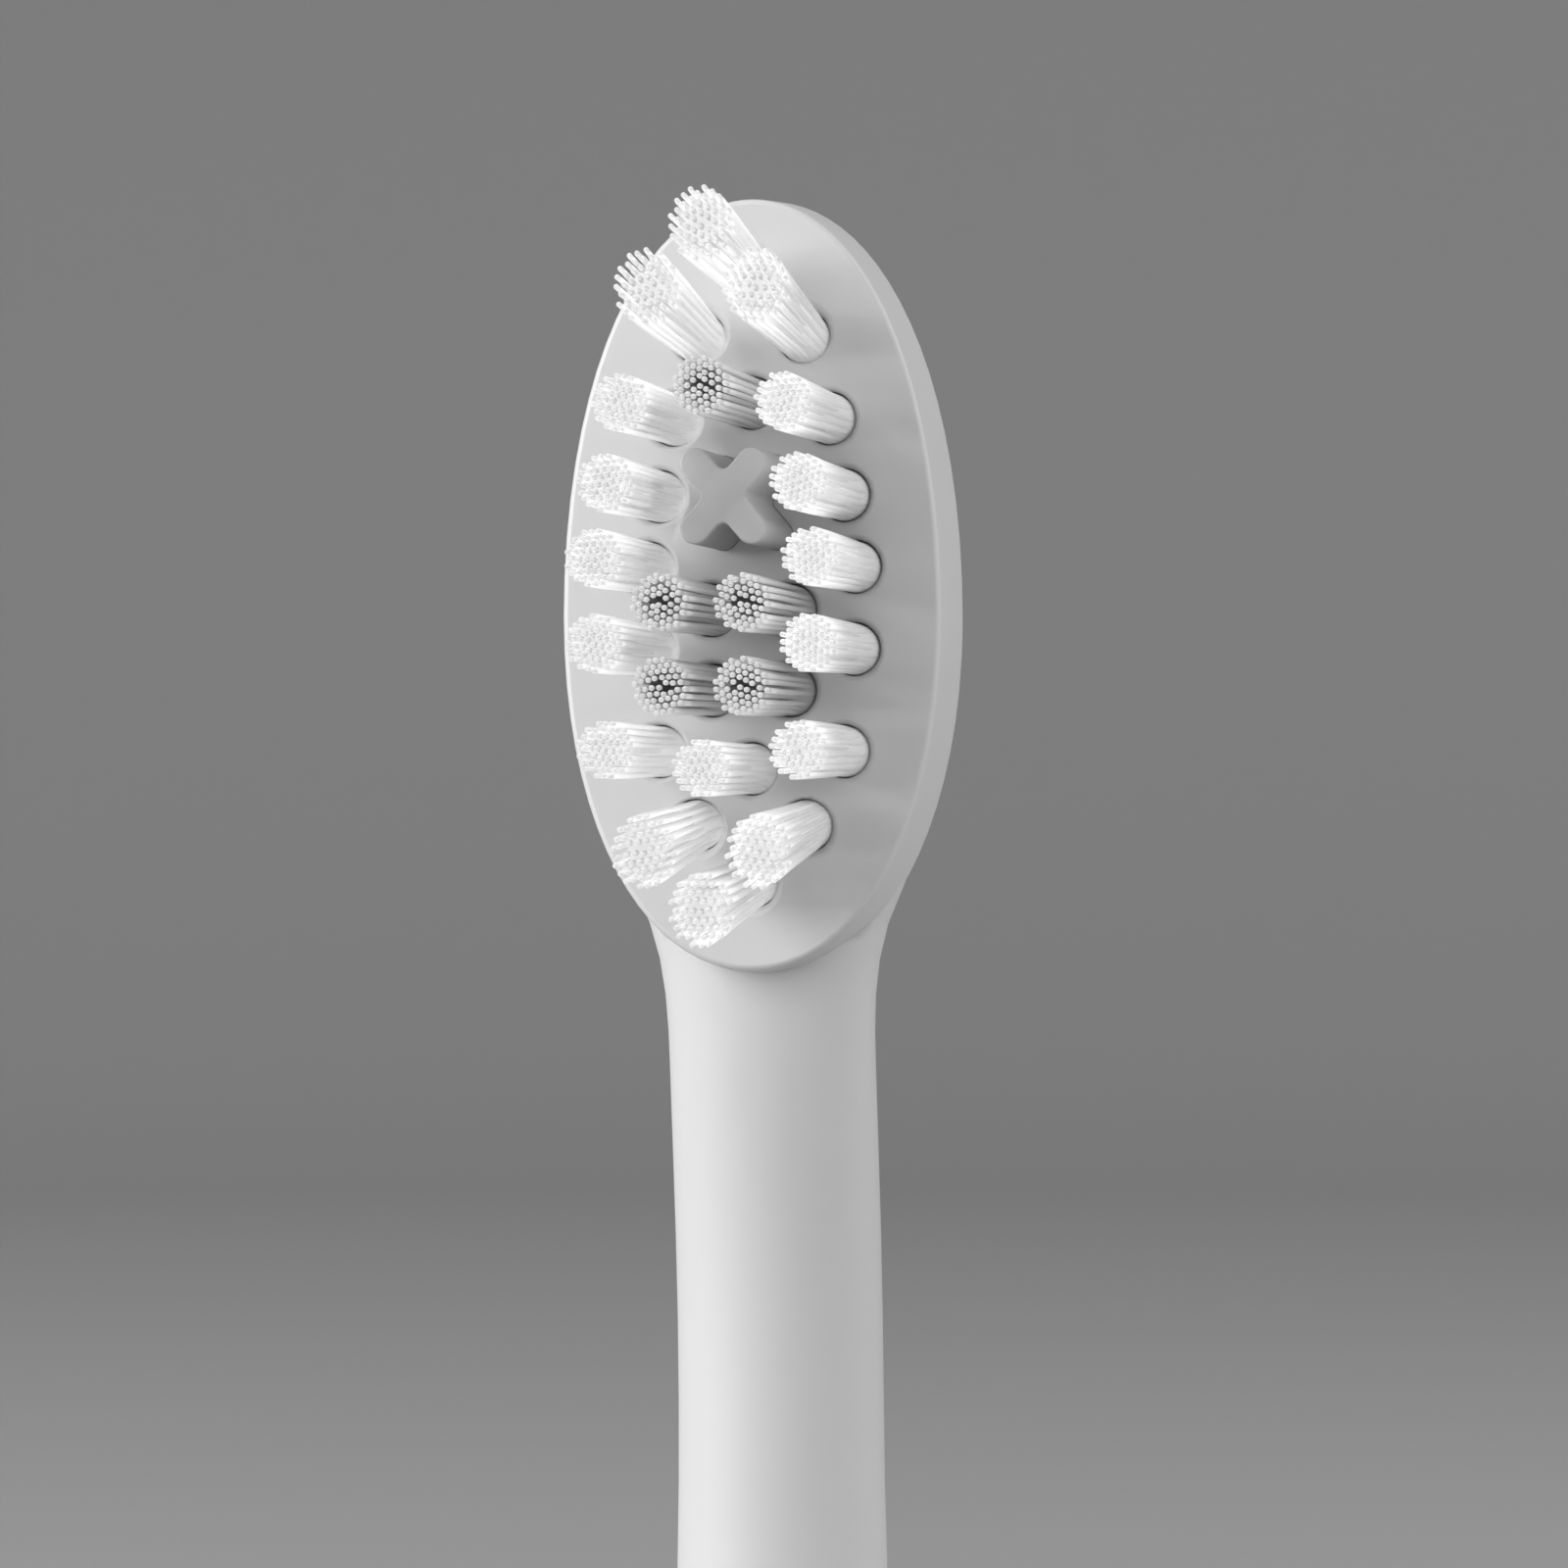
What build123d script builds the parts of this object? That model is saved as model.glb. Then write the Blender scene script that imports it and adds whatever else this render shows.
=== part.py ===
from build123d import *
import os
from math import cos, pi, sin

# Electric toothbrush head: an oval bristle head on a slim neck, with a drive-shaft socket in its foot.
# The origin is the centre of the foot, where the drive shaft enters. +Z runs up along the shaft,
# and the bristles point towards -Y. Millimetres and degrees.

# Oval bristle head
TOTAL_HEIGHT = 78.0          # foot to the top of the oval
FACE_WIDTH = 12.78           # bristle face, across its widest line
FACE_RISE = 13.9             # widest line to the upper end of the face
FACE_DROP = 11.82            # widest line to the lower end of the face
OVAL_FULLNESS = 0.584        # handle of the oval's quarter curves, as a share; an ellipse has 0.552
FACE_FORWARD = 6.6           # face, ahead of the drive shaft's axis
HEAD_THICKNESS = 5.4
PARTING_DEPTH = 3.4          # face to the parting line, where the head is widest
SIDE_FLARE = 0.24            # lean of the side wall, from the face out to the parting line
FOOT_FLARE = 0.3             # the same at the lower end, where the wall runs into the neck
FACE_EDGE_RADIUS = 0.2
FACE_EDGE_STEPS = 2          # flats that round the edge
BACK_EDGE_RADIUS = 1.8
BACK_EDGE_STEPS = 3

# Neck
NECK_WIDTH = 7.06
NECK_DEPTH = 6.2
NECK_SETBACK = 5.0           # face to the middle of the neck, at the lower end of the head
WAIST_LENGTH = 14.3          # stretch of even width below the head
LEAN_START = 14.0            # height at which the neck begins to lean forward
FOOT_DIAMETER = 13.0
NECK_END_RISE = 9.2          # end of the neck inside the head, above the head's lower end
SHOULDER_WIDTH = 10.3        # neck at that end
SHOULDER_START = 3.1         # below the head's lower end, where the neck begins to widen
SHOULDER_LENGTH = 7.0        # height over which it widens
BACK_LENGTH = 22.0           # height over which the neck's back runs into the head's back
FACE_STEP = 0.9              # face, ahead of the neck's front
BACK_COVER = 0.15            # head's back, behind the neck's end
NECK_STATIONS = 16           # ellipses that shape the neck up to its shoulder
SHOULDER_STATIONS = 10       # ellipses that shape the shoulder

# Tufts and their holes
HOLE_DIAMETER = 1.8
HOLE_DEPTH = 3.2
HOLE_COUNTERSINK = 0.2
TUFT_CLEARANCE = 0.02        # tuft to the wall of its hole, on the radius
TUFT_HEIGHT = 9.5            # above the face
TUFT_TIP_DIAMETER = 1.94
TUFT_TIP_BEVEL = 0.2
TUFT_RIDGES = 10
TUFT_RIDGE_DEPTH = 0.08      # valley between the outer filaments
UPPER_LEAN_ANGLE = 6.0       # lean of the upper tufts, away from the middle
LOWER_LEAN_ANGLE = 4.7       # the same for the lower tufts

# Wire anchor across the foot of each tuft
ANCHOR_THICKNESS = 0.3
ANCHOR_HEIGHT = 1.4
ANCHOR_FOLD = 0.5            # folded filaments below the anchor
ANCHOR_ANGLE = 45.0          # turn of the wire from the width of the head

# Polishing cross
CROSS_PLACE = 0.271          # middle of the cross, as a share of the face's rise
CROSS_HEIGHT = 5.2           # above the face
CROSS_ARM_WIDTH = 1.0
CROSS_ARM_SPAN = 2.84        # between the end centres of one bar
CROSS_ARM_ANGLE = 49.0       # bar, from the width of the head
CROSS_CORNER_RADIUS = 0.25
CROSS_SEAT_DEPTH = 1.6
CROSS_CLEARANCE = 0.02       # cross to the wall of its seat

# Drive-shaft sleeve
BORE_DIAMETER = 3.6
GUIDE_LENGTH = 9.0           # round bore, from the foot
DRIVE_DIAMETER = 3.0         # D-shaped bore above it
DRIVE_LENGTH = 10.0
DRIVE_FLAT = 1.1             # axis to the flat of the D
SLEEVE_DIAMETER = 6.2
SLEEVE_END_WALL = 2.0
FLANGE_DIAMETER = 9.2
FLANGE_THICKNESS = 1.6
SLEEVE_CLEARANCE = 0.02      # sleeve to its seat, on the radius
SLEEVE_END_GAP = 0.3         # sleeve's blind end to the end of its seat

# Spring leaf in the sleeve's window
SPRING_THICKNESS = 0.3
SPRING_WIDTH = 2.2
SPRING_LENGTH = 8.6
SPRING_TAB = 1.2             # flat end that lies on its ledge
SPRING_LEDGE = 0.9           # ledge, outside the flat of the D
SPRING_PRELOAD = 0.1         # reach of the bow past the flat of the D
SPRING_CLEARANCE = 0.05      # leaf to the walls of its window

# Ring round the foot
RING_HEIGHT = 2.6
RING_WALL = 1.0
RING_CLEARANCE = 0.02        # ring to the foot, on the radius
RING_BEVEL = 0.35

# Tuft rows: half spacing as a share of the face's half width, height as a share of its rise or drop,
# lean along the head, and the bristles' colour
TUFT_ROWS = (
    (0.000, 0.814, UPPER_LEAN_ANGLE, "white"),
    (0.277, 0.671, UPPER_LEAN_ANGLE, "white"),
    (0.000, 0.512, 0.0, "grey"),
    (0.412, 0.473, 0.0, "white"),
    (0.489, 0.289, 0.0, "white"),
    (0.548, 0.117, 0.0, "white"),
    (0.208, 0.014, 0.0, "grey"),
    (0.542, -0.094, 0.0, "white"),
    (0.205, -0.210, 0.0, "grey"),
    (0.487, -0.382, 0.0, "white"),
    (0.000, -0.431, 0.0, "white"),
    (0.291, -0.593, -LOWER_LEAN_ANGLE, "white"),
    (0.000, -0.752, -LOWER_LEAN_ANGLE, "white"),
)

# Places that follow from the dimensions
face_height = TOTAL_HEIGHT - FACE_RISE - SIDE_FLARE
shoulder_height = face_height - FACE_DROP - FOOT_FLARE
waist_height = shoulder_height - WAIST_LENGTH
shoulder_start_height = shoulder_height - SHOULDER_START
neck_end_height = shoulder_height + NECK_END_RISE
sleeve_length = GUIDE_LENGTH + DRIVE_LENGTH + SLEEVE_END_WALL
drive_middle = GUIDE_LENGTH + DRIVE_LENGTH / 2
face_plane = Plane(origin=(0, -FACE_FORWARD, face_height), x_dir=(1, 0, 0), z_dir=(0, -1, 0))


def quarter_oval(half_width, height):
    """Quarter of the egg outline, from its widest line to its end."""
    side_handle = (half_width, OVAL_FULLNESS * height)
    end_handle = (OVAL_FULLNESS * half_width, height)
    return Bezier((half_width, 0), side_handle, end_handle, (0, height))


def oval(half_width, rise, drop):
    """Egg outline: an upper and a lower half on one widest line."""
    sizes = ((half_width, rise), (-half_width, rise), (-half_width, -drop), (half_width, -drop))
    return make_face([quarter_oval(across, height) for across, height in sizes])


def head_outline(depth, inset):
    """Outline of the head at a depth behind the face, drawn in by the inset."""
    share = min(depth / PARTING_DEPTH, 1.0)
    half_width = FACE_WIDTH / 2 + SIDE_FLARE * share - inset
    rise = FACE_RISE + SIDE_FLARE * share - inset
    drop = FACE_DROP + FOOT_FLARE * share - inset
    return face_plane.offset(-depth) * oval(half_width, rise, drop)


def edge_points(radius, steps):
    """Depth and inset of the points round an edge, from the flat to the wall."""
    angles = [pi / 2 * step / steps for step in range(steps + 1)]
    return [(radius * (1 - cos(angle)), radius * (1 - sin(angle))) for angle in angles]


def head_block():
    """Oval head: rounded face edge, side wall flared to the parting line, rounded back."""
    front = edge_points(FACE_EDGE_RADIUS, FACE_EDGE_STEPS)
    back = edge_points(BACK_EDGE_RADIUS, BACK_EDGE_STEPS)
    outlines = [head_outline(depth, inset) for depth, inset in front]
    outlines.append(head_outline(PARTING_DEPTH, 0))
    outlines += [head_outline(HEAD_THICKNESS - depth, inset) for depth, inset in reversed(back)]
    return loft(outlines, ruled=True)


def ease(share):
    """Smooth step from 0 to 1."""
    share = min(max(share, 0.0), 1.0)
    return share * share * (3 - 2 * share)


def neck_section(height):
    """Ellipse across the neck: flared at the foot, leaning forward, spread into the head."""
    flare = max(0.0, (waist_height - height) / (waist_height - RING_HEIGHT)) ** 2
    lean = max(0.0, (height - LEAN_START) / (shoulder_height - LEAN_START)) ** 2
    width = NECK_WIDTH + (FOOT_DIAMETER - NECK_WIDTH) * flare
    depth = NECK_DEPTH + (FOOT_DIAMETER - NECK_DEPTH) * flare
    spread = min(max((height - shoulder_start_height) / SHOULDER_LENGTH, 0.0), 1.0) ** 3
    width += (SHOULDER_WIDTH - width) * spread
    front = lean * (FACE_FORWARD - NECK_SETBACK) + depth / 2
    back = front - depth
    sink = ease(1 - (neck_end_height - height) / BACK_LENGTH)
    front += (FACE_FORWARD - FACE_STEP - front) * sink
    back += (FACE_FORWARD - HEAD_THICKNESS + BACK_COVER - back) * sink
    return Pos(0, -(front + back) / 2, height) * Ellipse(width / 2, (front - back) / 2)


def even_steps(first, last, count):
    """Evenly spaced heights, without the last one."""
    return [first + (last - first) * step / count for step in range(count)]


def neck():
    """Neck from the top of the ring up into the head, through ellipses."""
    heights = even_steps(RING_HEIGHT, shoulder_start_height, NECK_STATIONS)
    heights += even_steps(shoulder_start_height, neck_end_height, SHOULDER_STATIONS)
    heights.append(neck_end_height)
    return loft([neck_section(height) for height in heights], ruled=True)


def tuft_places():
    """Location of each tuft's hole on the face, with the bristles' colour."""
    places = []
    for side_share, height_share, lean, colour in TUFT_ROWS:
        reach = FACE_RISE if height_share > 0 else FACE_DROP
        for side in (-1, 1) if side_share else (1,):
            across = side * side_share * FACE_WIDTH / 2
            spot = face_plane * Pos(across, height_share * reach, 0) * Rot(-lean, 0, 0)
            places.append((spot, colour))
    return places


def tuft_hole():
    """Cutter for one tuft's hole, with the countersink at its mouth."""
    radius = HOLE_DIAMETER / 2
    mouth = radius + HOLE_COUNTERSINK
    profile = Polyline(
        (0, -HOLE_DEPTH),
        (radius, -HOLE_DEPTH),
        (radius, -HOLE_COUNTERSINK),
        (mouth + HOLE_COUNTERSINK, HOLE_COUNTERSINK),
        (0, HOLE_COUNTERSINK),
        close=True,
    )
    return revolve(Plane.XZ * make_face(profile), Axis.Z)


def anchor():
    """Flat wire across the foot of a tuft, its corners at the wall of the hole."""
    length = (HOLE_DIAMETER**2 - ANCHOR_THICKNESS**2) ** 0.5 - 2 * TUFT_CLEARANCE
    wire = Box(length, ANCHOR_THICKNESS, ANCHOR_HEIGHT)
    return Pos(0, 0, ANCHOR_FOLD + ANCHOR_HEIGHT / 2 - HOLE_DEPTH) * Rot(0, 0, ANCHOR_ANGLE) * wire


def ridged_outline(radius):
    """Outline of a bundle of filaments: shallow ridges round a circle."""
    points = []
    for ridge in range(TUFT_RIDGES):
        crest_angle = 2 * pi * ridge / TUFT_RIDGES
        valley_angle = crest_angle + pi / TUFT_RIDGES
        valley = radius - TUFT_RIDGE_DEPTH
        points.append((radius * cos(crest_angle), radius * sin(crest_angle)))
        points.append((valley * cos(valley_angle), valley * sin(valley_angle)))
    return make_face(Polyline(*points, close=True))


def tuft():
    """Bundle of filaments, spread from its hole to a bevelled tip, folded round its anchor."""
    mouth = HOLE_DIAMETER / 2 - TUFT_CLEARANCE
    tip = TUFT_TIP_DIAMETER / 2
    foot = mouth - (tip - mouth) * HOLE_DEPTH / TUFT_HEIGHT
    stages = (
        (-HOLE_DEPTH, foot),
        (TUFT_HEIGHT - TUFT_TIP_BEVEL, tip),
        (TUFT_HEIGHT, tip - TUFT_TIP_BEVEL),
    )
    bundle = loft([Pos(0, 0, height) * ridged_outline(radius) for height, radius in stages], ruled=True)
    return bundle - anchor()


def cross_outline(clearance=0.0):
    """Two round-ended bars that cross, with rounded inner corners."""
    bar = SlotCenterToCenter(CROSS_ARM_SPAN, CROSS_ARM_WIDTH + 2 * clearance)
    outline = Rot(0, 0, CROSS_ARM_ANGLE) * bar + Rot(0, 0, -CROSS_ARM_ANGLE) * bar
    corners = outline.vertices().sort_by_distance((0, 0))[:4]
    return fillet(corners, CROSS_CORNER_RADIUS - clearance)


def cross_place():
    """Middle of the cross on the face."""
    return face_plane * Pos(0, CROSS_PLACE * FACE_RISE, 0)


def polishing_cross():
    """Soft rib, seated in a pocket of the face."""
    rib = extrude(Pos(0, 0, -CROSS_SEAT_DEPTH) * cross_outline(), amount=CROSS_SEAT_DEPTH + CROSS_HEIGHT)
    return cross_place() * rib


def cross_seat():
    """Cutter for the pocket that holds the cross."""
    pocket = extrude(Pos(0, 0, -CROSS_SEAT_DEPTH) * cross_outline(CROSS_CLEARANCE), amount=CROSS_SEAT_DEPTH * 2)
    return cross_place() * pocket


def sleeve_seat():
    """Cutter for the stepped hole that holds the sleeve."""
    radius = SLEEVE_DIAMETER / 2 + SLEEVE_CLEARANCE
    flange = FLANGE_DIAMETER / 2 + SLEEVE_CLEARANCE
    up = (Align.CENTER, Align.CENTER, Align.MIN)
    bore = Cylinder(radius, sleeve_length + SLEEVE_END_GAP, align=up)
    return bore + Cylinder(flange, FLANGE_THICKNESS, align=up)


def spring_window():
    """Cutter for the leaf's window: a pocket with a ledge at each end, open to the D bore."""
    width = SPRING_WIDTH + 2 * SPRING_CLEARANCE
    length = SPRING_LENGTH + 2 * SPRING_CLEARANCE
    ledge = DRIVE_FLAT + SPRING_LEDGE
    outwards = (Align.CENTER, Align.MIN, Align.CENTER)
    pocket = Pos(0, ledge, drive_middle) * Box(width, SLEEVE_DIAMETER, length, align=outwards)
    opening = Box(width, SPRING_LEDGE * 2, SPRING_LENGTH - 2 * SPRING_TAB, align=outwards)
    return pocket + Pos(0, DRIVE_FLAT - SPRING_LEDGE, drive_middle) * opening


def shaft_sleeve():
    """Stiff liner for the drive shaft: flange, round guide bore, D-shaped drive bore, spring window."""
    up = (Align.CENTER, Align.CENTER, Align.MIN)
    sleeve = Cylinder(SLEEVE_DIAMETER / 2, sleeve_length, align=up)
    sleeve += Cylinder(FLANGE_DIAMETER / 2, FLANGE_THICKNESS, align=up)
    flat = Pos(0, DRIVE_FLAT) * Rectangle(DRIVE_DIAMETER, DRIVE_DIAMETER, align=(Align.CENTER, Align.MIN))
    sleeve -= extrude(Circle(BORE_DIAMETER / 2), amount=GUIDE_LENGTH)
    sleeve -= extrude(Pos(0, 0, GUIDE_LENGTH) * (Circle(DRIVE_DIAMETER / 2) - flat), amount=DRIVE_LENGTH)
    return sleeve - spring_window()


def spring_clip():
    """Bowed steel leaf: flat tabs on the ledges, and a bow that reaches past the flat of the D."""
    half_bow = SPRING_LENGTH / 2 - SPRING_TAB
    ledge = DRIVE_FLAT + SPRING_LEDGE
    crown = DRIVE_FLAT - SPRING_PRELOAD
    lift = SPRING_THICKNESS
    inner = [
        Line((ledge, -SPRING_LENGTH / 2), (ledge, -half_bow)),
        ThreePointArc((ledge, -half_bow), (crown, 0), (ledge, half_bow)),
        Line((ledge, half_bow), (ledge, SPRING_LENGTH / 2)),
    ]
    outer = [
        Line((ledge + lift, SPRING_LENGTH / 2), (ledge + lift, half_bow)),
        ThreePointArc((ledge + lift, half_bow), (crown + lift, 0), (ledge + lift, -half_bow)),
        Line((ledge + lift, -half_bow), (ledge + lift, -SPRING_LENGTH / 2)),
    ]
    ends = [
        Line((ledge, SPRING_LENGTH / 2), (ledge + lift, SPRING_LENGTH / 2)),
        Line((ledge + lift, -SPRING_LENGTH / 2), (ledge, -SPRING_LENGTH / 2)),
    ]
    section = Plane.YZ * Pos(0, drive_middle) * make_face(inner + outer + ends)
    return extrude(section, amount=SPRING_WIDTH / 2, both=True)


def base_ring():
    """Ring round the foot, flush with the neck above it."""
    up = (Align.CENTER, Align.CENTER, Align.MIN)
    ring = Cylinder(FOOT_DIAMETER / 2, RING_HEIGHT, align=up)
    ring -= Cylinder(FOOT_DIAMETER / 2 - RING_WALL, RING_HEIGHT, align=up)
    rim = ring.edges().group_by(Axis.Z)[0].sort_by(SortBy.LENGTH)[-1]
    return chamfer(rim, RING_BEVEL)


def head_body(holes):
    """White moulding: oval head and neck in one, with every seat cut into it."""
    up = (Align.CENTER, Align.CENTER, Align.MIN)
    spigot = Cylinder(FOOT_DIAMETER / 2 - RING_WALL - RING_CLEARANCE, RING_HEIGHT, align=up)
    body = head_block() + neck() + spigot
    body -= sleeve_seat()
    body -= cross_seat()
    return body - [spot * tuft_hole() for spot in holes]


def build():
    """All pieces of the brush head, by node name."""
    places = tuft_places()
    holes = [spot for spot, colour in places]
    pieces = {
        "head_body": head_body(holes),
        "polishing_cross": polishing_cross(),
        "tuft_anchors": Compound(children=[spot * anchor() for spot in holes]),
        "shaft_sleeve": shaft_sleeve(),
        "spring_clip": spring_clip(),
        "base_ring": base_ring(),
    }
    bundle = tuft()
    count = {"white": 0, "grey": 0}
    for spot, colour in places:
        count[colour] += 1
        pieces[f"{colour}_tuft_{count[colour]:02d}"] = spot * bundle
    return pieces


os.makedirs("parts", exist_ok=True)
for name, piece in build().items():
    export_step(piece, f"parts/{name}.step")
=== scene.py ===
import math
import random

import bpy
from mathutils import Matrix, Vector


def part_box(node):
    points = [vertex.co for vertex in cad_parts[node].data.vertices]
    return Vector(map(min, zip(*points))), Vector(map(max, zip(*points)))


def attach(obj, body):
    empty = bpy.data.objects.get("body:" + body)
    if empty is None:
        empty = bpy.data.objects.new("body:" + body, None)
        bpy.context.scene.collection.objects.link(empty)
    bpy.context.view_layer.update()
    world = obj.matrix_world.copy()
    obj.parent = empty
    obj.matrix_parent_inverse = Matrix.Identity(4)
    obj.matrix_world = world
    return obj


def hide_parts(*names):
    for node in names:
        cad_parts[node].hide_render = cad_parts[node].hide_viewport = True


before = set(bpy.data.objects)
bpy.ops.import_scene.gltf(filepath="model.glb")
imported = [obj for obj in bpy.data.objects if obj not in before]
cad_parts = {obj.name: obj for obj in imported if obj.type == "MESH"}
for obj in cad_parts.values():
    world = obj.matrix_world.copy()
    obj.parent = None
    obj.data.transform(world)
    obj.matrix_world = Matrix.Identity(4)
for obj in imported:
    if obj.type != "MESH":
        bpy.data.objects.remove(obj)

bl_info = {
    "name": "Electric toothbrush head",
    "version": (1, 0, 0),
    "blender": (4, 5, 0),
    "location": "3D View > Sidebar > Brush Head",
    "description": "Dresses the packed brush head with bristles, moulded finishes and a studio stage",
    "category": "Object",
}

MM = 0.001
FACE_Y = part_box("head_body")[0].y
FOOT_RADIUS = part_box("base_ring")[1].x
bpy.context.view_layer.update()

# Clean-up and shading of the copied solids
MERGE_DISTANCE = 0.0005 * MM
HEAD_FLAT_ANGLE = math.radians(0.3)
RIB_FLAT_ANGLE = math.radians(1)
SMOOTH_ANGLE = math.radians(50)
RIB_SMOOTH_ANGLE = math.radians(40)
LINER_SMOOTH_ANGLE = math.radians(30)
NORMAL_WEIGHT = 90
RIB_TOP_BAND = 0.01 * MM
RIB_EDGE = 0.09 * MM
RIB_EDGE_STEPS = 3

# Least part of a face's normal along an axis for the face to count as facing that way
FACING = 0.9

# Filaments, and the hearts of their bundles
TIP_BAND = 1.0 * MM
FOOT_BAND = 0.3 * MM
UPRIGHT_LEAN = 0.03
SIDE_FAN_SHARE = 0.5
FILAMENT_SIDES = 8
BOW_SHARES = (0.35, 0.7)
TIP_ROUNDING = 0.75
TIP_STEPS = 2
# Painted shade on the inner filaments: none from this share of the bundle's radius outwards, growing inwards
# with this power
PAINTED_SHADE_REACH = 0.9
PAINTED_SHADE_POWER = 3
HEART_SIDES = 24
HEART_OVERLAP = 0.45
HEART_TONE = 0.5

# Finishes
GRAIN_DEPTH = 0.02 * MM
NYLON_IOR = 1.53
NYLON_ROUGHNESS = (0.28, 0.46)
STREAK_STRETCH = (1.0, 0.04, 1.0)
STREAK_SIZE = 16000.0
SEEP_NEAR = 2.0 * MM
SEEP_FAR = 3.0 * MM
LINE_STRETCH = (1.0, 1.0, 0.05)
METAL_TONE = (0.88, 1.06)
METAL_ROUGHNESS_SPREAD = 0.16
PAPER_ROUGHNESS = 0.9
PAPER_SPECULAR = 0.2

# Studio bowl and camera
BOWL_SIDES = 96
BOWL_CURVE = 0.4
BOWL_CURVE_STEPS = 16
SENSOR_WIDTH = 36.0
CLIP_NEAR = 0.01
CLIP_FAR = 20.0

# Side length, turn and lift in degrees, and distance of each lamp, which all look at one point
LAMP_AIM = Vector((0, FACE_Y, 55 * MM))
LAMPS = {
    "key": (0.48, -60, 18, 0.60),
    "front": (0.60, 10, 27, 0.675),
    "fill": (0.45, 86, 28, 0.60),
}


class BristleSettings(bpy.types.PropertyGroup):
    """Sizes of the nylon filaments and of the bundles they make."""

    diameter: bpy.props.FloatProperty(
        name="Filament Diameter",
        description="Thickness of one nylon filament",
        default=0.182 * MM,
        precision=6,
        unit="LENGTH",
    )
    root_pitch: bpy.props.FloatProperty(
        name="Root Pitch",
        description="Distance between neighbouring filaments where they leave the head",
        default=0.208 * MM,
        precision=6,
        unit="LENGTH",
    )
    tip_pitch: bpy.props.FloatProperty(
        name="Tip Pitch",
        description="Distance between neighbouring filaments at their tips",
        default=0.221 * MM,
        precision=6,
        unit="LENGTH",
    )
    bundle_radius: bpy.props.FloatProperty(
        name="Bundle Radius",
        description="Radius of the bundle at its root, to the middle of the outer filaments",
        default=0.780 * MM,
        precision=6,
        unit="LENGTH",
    )
    sunk: bpy.props.FloatProperty(
        name="Sunk Length",
        description="Length of the filaments that is modelled inside the hole",
        default=0.7 * MM,
        precision=6,
        unit="LENGTH",
    )
    fan: bpy.props.FloatProperty(
        name="Fan",
        description="Spread of an upright tuft's tips along the head, against their even pitch",
        default=1.08,
        subtype="FACTOR",
    )
    end_fan: bpy.props.FloatProperty(
        name="End Fan",
        description="Spread of a leaning tuft's tips along its lean, against their even pitch",
        default=1.42,
        subtype="FACTOR",
    )
    tip_wander: bpy.props.FloatProperty(
        name="Tip Wander",
        description="How far a tip strays from its even place",
        default=0.012 * MM,
        precision=6,
        unit="LENGTH",
    )
    split: bpy.props.FloatProperty(
        name="Split",
        description="How far each half of a folded bundle leans away from the other at the tips",
        default=0.06 * MM,
        precision=6,
        unit="LENGTH",
    )
    length_spread: bpy.props.FloatProperty(
        name="Length Spread",
        description="Difference in length from filament to filament",
        default=0.06 * MM,
        precision=6,
        unit="LENGTH",
    )
    bow: bpy.props.FloatProperty(
        name="Bow",
        description="How far the middle of a filament stands off a straight line",
        default=0.02 * MM,
        precision=6,
        unit="LENGTH",
    )
    heart_drop: bpy.props.FloatVectorProperty(
        name="Heart Drop",
        description="Tips to the top of a bundle's solid heart, in a white and in a grey tuft",
        default=(0.7 * MM, 1.5 * MM),
        size=2,
        precision=6,
        unit="LENGTH",
    )
    # Painted shade: the filaments' colour darkens over this depth below their tips, where close filaments
    # would shade each other
    painted_shade_fade: bpy.props.FloatProperty(
        name="Painted Shade Fade",
        description="Depth below the tips at which close filaments stand in each other's shade",
        default=0.45 * MM,
        precision=6,
        unit="LENGTH",
    )
    trim: bpy.props.FloatProperty(
        name="Trim",
        description="How far a leaning tuft's tips are cut level with the face, 0 for square to its lean",
        default=0.7,
        subtype="FACTOR",
    )
    heart_taper: bpy.props.FloatProperty(
        name="Heart Taper",
        description="Radius of the heart's top against the bundle's radius at its root",
        default=0.72,
        subtype="FACTOR",
    )
    crown: bpy.props.FloatProperty(
        name="Crown",
        description="How much lower the outer filaments of a bundle end than its middle",
        default=0.16 * MM,
        precision=6,
        unit="LENGTH",
    )
    seed: bpy.props.IntProperty(
        name="Seed",
        description="Start of the repeatable scatter",
        default=11,
    )


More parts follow.
